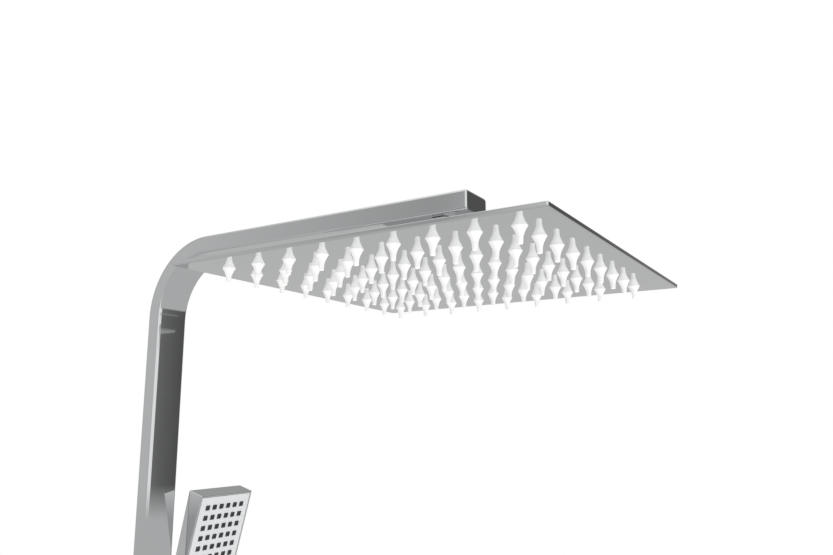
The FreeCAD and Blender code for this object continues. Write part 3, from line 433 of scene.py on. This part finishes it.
# Machined stainless: grey and half bright, with short tool marks.
machined_steel, tree, shader = surface("machined_stainless", "#B9BABB", 1, 0.25)
grain(tree, shader, 0.8, 0.003, (0.18, 0.34), stretch=(1, 1, 5))

# Natural acetal, moulded: a milky off-white with a low sheen.
acetal, tree, shader = surface("natural_acetal", "#E9E8E3", 0, 0.38)
shader.inputs["IOR"].default_value = 1.48
grain(tree, shader, 0.6, 0.004, (0.3, 0.45))

# Grey fibre, pressed into sheet: dull, with its fibres just felt in the surface.
pressed_fibre, tree, shader = surface("pressed_grey_fibre", "#959598", 0, 0.7)
grain(tree, shader, 0.5, 0.02, (0.6, 0.8), detail=6.0)

collar = softened("hexagon_collar_and_ball", "ball_stem", chromed_brass, 0.25)
fit(collar, "riser", "chrome_brass", "ball_stem")
nut = softened("hexagon_socket_nut", "socket_nut", chromed_brass, 0.3)
fit(nut, "overhead_shower", "chrome_brass", "socket_nut")
hub = softened("turned_hub", "head_hub", polished_steel, 0.3)
fit(hub, "overhead_shower", "mirror_steel", "head_hub")
dress(bare_brass, "arm_nipple")
dress(pressed_fibre, "stem_washer")
dress(acetal, "ball_seat", "ball_friction_ring", "flow_restrictor")
dress(machined_steel, "head_filter")


# ---- Overhead shower's sheets -------------------------------------------------------
# Two thin mirror-polished stainless sheets welded at the rim: a tray with its lower edge
# rolled over, and a flat back sheet. The rolled edge draws a bright line round the square.

SHEET = 0.001
RIM = 0.0012
TRAY_ROUND = 0.0012
BACK_ROUND = 0.0005
SQUARE_CORNER = 0.0011
EDGE_STEPS = 5
back_low, back_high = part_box("head_back_plate")
side = head_high.x - head_low.x


def rolled_edge(width, depth, corner, edge, turn):
    """Outlines drawn in over a quarter-round edge: inset edge*(1-cos t), rise edge*sin t, and
    the surface direction leans from sideways to straight ahead by t."""
    outlines = []
    for angle in turn:
        inset = edge * (1 - math.cos(angle))
        points, facing = rounded_outline(width - 2 * inset, depth - 2 * inset, max(corner - inset, 1e-5))
        rise = np.full((len(points), 1), edge * math.sin(angle))
        ahead = np.full((len(points), 1), math.sin(angle))
        outlines.append((np.hstack([points, rise]), np.hstack([facing * math.cos(angle), ahead])))
    return np.array([points for points, _ in outlines]), np.array([facing for _, facing in outlines])


def on_head(rings, base_z, upwards):
    """Rings drawn about the square's own middle, set at a height, rising or falling."""
    return np.stack([head_middle.x + rings[..., 0], head_middle.y + rings[..., 1],
                     base_z + upwards * rings[..., 2]], -1)


quarter_turn = np.linspace(np.pi / 2, 0, EDGE_STEPS + 1)
rolled, rolled_facing = rolled_edge(side, side, SQUARE_CORNER, TRAY_ROUND, quarter_turn)
lower = on_head(rolled, head_low.z + TRAY_ROUND, -1)
lower_facing = rolled_facing * np.array([1, 1, -1])
rim_points, rim_facing = rounded_outline(side, side, SQUARE_CORNER)
well_points, well_facing = rounded_outline(side - 2 * RIM, side - 2 * RIM, SQUARE_CORNER)
steps_up = [(rim_points, rim_facing, 1, head_high.z), (well_points, well_facing, -1, head_high.z),
            (well_points, well_facing, -1, head_low.z + SHEET)]
wall = []
wall_facing = []
for points, facing, way, z in steps_up:
    flat = np.hstack([points, np.zeros((len(points), 1))])
    wall.append(on_head(flat, z, 1))
    wall_facing.append(np.hstack([way * facing, np.zeros((len(points), 1))]))
tray = skin("overhead_shower_tray", polished_steel, np.concatenate([lower, np.array(wall)]),
            np.concatenate([lower_facing, np.array(wall_facing)]))
fit(tray, "overhead_shower", "mirror_steel", "head_front_plate")

rolled, rolled_facing = rolled_edge(side, side, SQUARE_CORNER, BACK_ROUND, quarter_turn[::-1])
upper = on_head(rolled, back_high.z - BACK_ROUND, 1)
foot = upper[:1].copy()
foot[..., 2] = back_low.z
back = skin("overhead_shower_back", polished_steel, np.concatenate([foot, upper]),
            np.concatenate([rolled_facing[:1], rolled_facing]))
fit(back, "overhead_shower", "mirror_steel", "head_back_plate")


# ---- Overhead shower's nozzles ------------------------------------------------------
# One moulded mat of soft white silicone behind the tray; nine rows of nine nozzles push
# through it. Each flares from a wide foot to a thin tip with a fine bore, matt and pale.

ROWS = 9
PITCH = 0.030
FOOT_R = 0.0051
TIP_R = 0.00175
WAIST_R = 0.00205
BORE_R = 0.0006
WAIST_AT = 0.62
CONE_BOW = 0.00045
TIP_ROUND = 0.00035
BORE_LIP = 0.0001
BORE_DEPTH = 0.0035
AROUND = 20
nozzle_length = head_low.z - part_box("nozzle_mat")[0].z

# White silicone, moulded: soft and pale, slightly see-through at the thin tips.
white_silicone, tree, shader = surface("moulded_white_silicone", "#FBFBFA", 0, 0.5)
shader.inputs["IOR"].default_value = 1.41
shader.inputs["Subsurface Weight"].default_value = 0.15
shader.inputs["Subsurface Radius"].default_value = (0.004, 0.004, 0.004)
grain(tree, shader, 0.7, 0.006, (0.42, 0.6))

flare = np.linspace(0, 1, 7)
bow = CONE_BOW * 4 * flare * (1 - flare)
cone_r = FOOT_R + (WAIST_R - FOOT_R) * flare - bow
cone_z = -nozzle_length * WAIST_AT * flare
tip_turn = np.linspace(0, np.pi / 2, 4)
tip_r = TIP_R - TIP_ROUND * (1 - np.cos(tip_turn))
tip_z = -nozzle_length + TIP_ROUND * (1 - np.sin(tip_turn))
profile_r = np.concatenate([[FOOT_R], cone_r, tip_r, [BORE_R + BORE_LIP, BORE_R, BORE_R]])
profile_z = np.concatenate([[SHEET], cone_z, tip_z,
                            [-nozzle_length, -nozzle_length + BORE_LIP,
                             -nozzle_length + BORE_DEPTH]])
spin = np.linspace(0, 2 * np.pi, AROUND + 1)[:-1]
places = (np.arange(ROWS) - (ROWS - 1) / 2) * PITCH


def turned_nozzles(profile_r, profile_z):
    """Every nozzle in one mesh: the profile turned about its own axis, (r cos a, r sin a, z),
    then moved to each place of the grid. The bore ends in a small flat, the foot in a flat."""
    rings = np.stack([profile_r[:, None] * np.cos(spin), profile_r[:, None] * np.sin(spin),
                      np.repeat(profile_z[:, None], AROUND, 1)], -1)
    one = rings.reshape(-1, 3)
    grid = np.arange(len(one)).reshape(len(profile_r), AROUND)
    beside = np.roll(grid, -1, 1)
    quads = np.stack([grid[:-1], grid[1:], beside[1:], beside[:-1]], -1).reshape(-1, 4)
    grid_x, grid_y = np.meshgrid(head_middle.x + places, head_middle.y + places)
    shift = np.stack([grid_x.ravel(), grid_y.ravel(), np.full(grid_x.size, head_low.z)], 1)
    points = (shift[:, None] + one[None]).reshape(-1, 3)
    step_on = np.arange(len(shift)) * len(one)
    faces = (step_on[:, None, None] + quads[None]).reshape(-1, 4).tolist()
    for start in step_on.tolist():
        faces.append((start + grid[0]).tolist())
        faces.append((start + grid[-1][::-1]).tolist())
    return points, faces


nozzle_points, nozzle_faces = turned_nozzles(profile_r, profile_z)
nozzle_mesh = bpy.data.meshes.new("silicone_nozzles")
nozzle_mesh.from_pydata(nozzle_points.tolist(), [], nozzle_faces)
nozzle_mesh.polygons.foreach_set("use_smooth", np.ones(len(nozzle_faces), bool))
nozzle_mesh.set_sharp_from_angle(angle=math.radians(50))
nozzle_mesh.materials.append(white_silicone)
nozzles = bpy.data.objects.new("silicone_nozzles", nozzle_mesh)
bpy.context.scene.collection.objects.link(nozzles)
fit(nozzles, "overhead_shower", "white_silicone", "nozzle_mat")


# ---- Wall brackets ------------------------------------------------------------------
# Two square brackets hold the riser off the wall: a screwed steel plate under a polished
# cover, and a chromed square sleeve locked by a grub screw. Edges are lightly broken.

for level in ("upper", "lower"):
    cover = softened(level + "_bracket_cover", level + "_wall_cover", polished_steel, 0.5)
    fit(cover, "riser", "mirror_steel", level + "_wall_cover")
    sleeve = softened(level + "_bracket_sleeve", level + "_standoff", chromed_brass, 0.35)
    fit(sleeve, "riser", "chrome_brass", level + "_standoff")
    dress(machined_steel, level + "_wall_plate")
dress(machined_steel, "bracket_studs", "bracket_nuts", "bracket_grub_screws")


# ---- Hand shower's holder -----------------------------------------------------------
# A plated collar slides on the riser over a plastic liner and is locked by a fluted knob;
# a square slotted cradle swivels on its side. Moulded parts under bright chrome plating.

# Bright chrome on moulded plastic: a mirror, a touch softer than plated brass.
chromed_plastic, tree, shader = surface("bright_chrome_on_plastic", "#D8D9DA", 1, 0.04)
grain(tree, shader, 6, 0.0006, (0.03, 0.06), detail=2.0)

collar_body = softened("sliding_collar", "slider_body", chromed_plastic, 0.6)
fit(collar_body, "holder", "chrome_plastic", "slider_body")
socket = softened("slotted_cradle", "cradle", chromed_plastic, 0.6)
fit(socket, "holder_cradle", "chrome_plastic", "cradle")
knob = softened("fluted_lock_knob", "lock_knob", chromed_plastic, 0.35, segments=2)
fit(knob, "holder_lock", "chrome_plastic", "lock_knob")
dress(acetal, "slider_liner", "friction_washer")
dress(bare_brass, "clamp_pad")
dress(machined_steel, "lock_screw", "pivot_screw")


# ---- Hand shower --------------------------------------------------------------------
# A moulded, chromed body with flat facets and crisp creases, a satin grey spray face set
# in its rim, and small square nozzles of dark rubber.

# Satin grey ABS, moulded against an etched tool: an even pale grey with a soft sheen.
satin_face, tree, shader = surface("satin_grey_abs", "#CFD0D1", 0, 0.3)
grain(tree, shader, 0.5, 0.004, (0.25, 0.38))

# Dark rubber, moulded: near black and matt, with a fine bloom.
dark_rubber, tree, shader = surface("moulded_dark_rubber", "#2B2C2E", 0, 0.5)
grain(tree, shader, 0.5, 0.01, (0.42, 0.6))

shell = softened("hand_shower_body", "handset_shell", chromed_plastic, 0.7, segments=4, angle=12,
                 clamp=False)
fit(shell, "handset", "chrome_plastic", "handset_shell")
face = softened("hand_shower_face", "handset_face_plate", satin_face, 0.2, segments=2)
fit(face, "handset", "satin_face", "handset_face_plate")
studs = softened("hand_shower_nozzles", "handset_nozzle_mat", dark_rubber, 0.7, segments=3)
fit(studs, "handset", "dark_rubber", "handset_nozzle_mat")
inlet = softened("hand_shower_inlet", "handset_nipple", chromed_brass, 0.2, segments=2)
fit(inlet, "handset", "chrome_brass", "handset_nipple")
dress(acetal, "handset_manifold", "check_valve")
dress(dark_rubber, "handset_gasket")


# ---- Diverter -----------------------------------------------------------------------
# A square chromed brass body at the riser's foot with a square knob in front and two
# threaded ports below. A grey inlay marks the knob's setting; discs of ceramic turn inside.

# Grey enamel, filled into a groove: matt and slightly grainy.
marker_enamel, tree, shader = surface("matt_grey_enamel", "#5A5C5F", 0, 0.5)
grain(tree, shader, 0.4, 0.004, (0.42, 0.58))

# Alumina, lapped flat: ivory white and glossy.
alumina, tree, shader = surface("lapped_alumina", "#F0EFEB", 0, 0.2)
grain(tree, shader, 0.4, 0.001, (0.15, 0.25))

block = softened("diverter_block", "diverter_body", chromed_brass, 0.3)
fit(block, "riser", "chrome_brass", "diverter_body")
handle = softened("diverter_handle", "diverter_knob", chromed_plastic, 0.3, segments=2)
fit(handle, "diverter_control", "chrome_plastic", "diverter_knob")
for port in ("inlet_nipple", "hose_outlet_nipple"):
    fitting = softened(port + "_fitting", port, chromed_brass, 0.25, segments=2)
    fit(fitting, "riser", "chrome_brass", port)
dress(marker_enamel, "knob_marker")
dress(alumina, "fixed_disc", "turning_disc")
dress(bare_brass, "diverter_cartridge", "bonnet_nut")
dress(dark_rubber, "tube_seal")
dress(machined_steel, "diverter_spindle", "knob_grub_screw", "tube_grub_screw", "inlet_strainer")
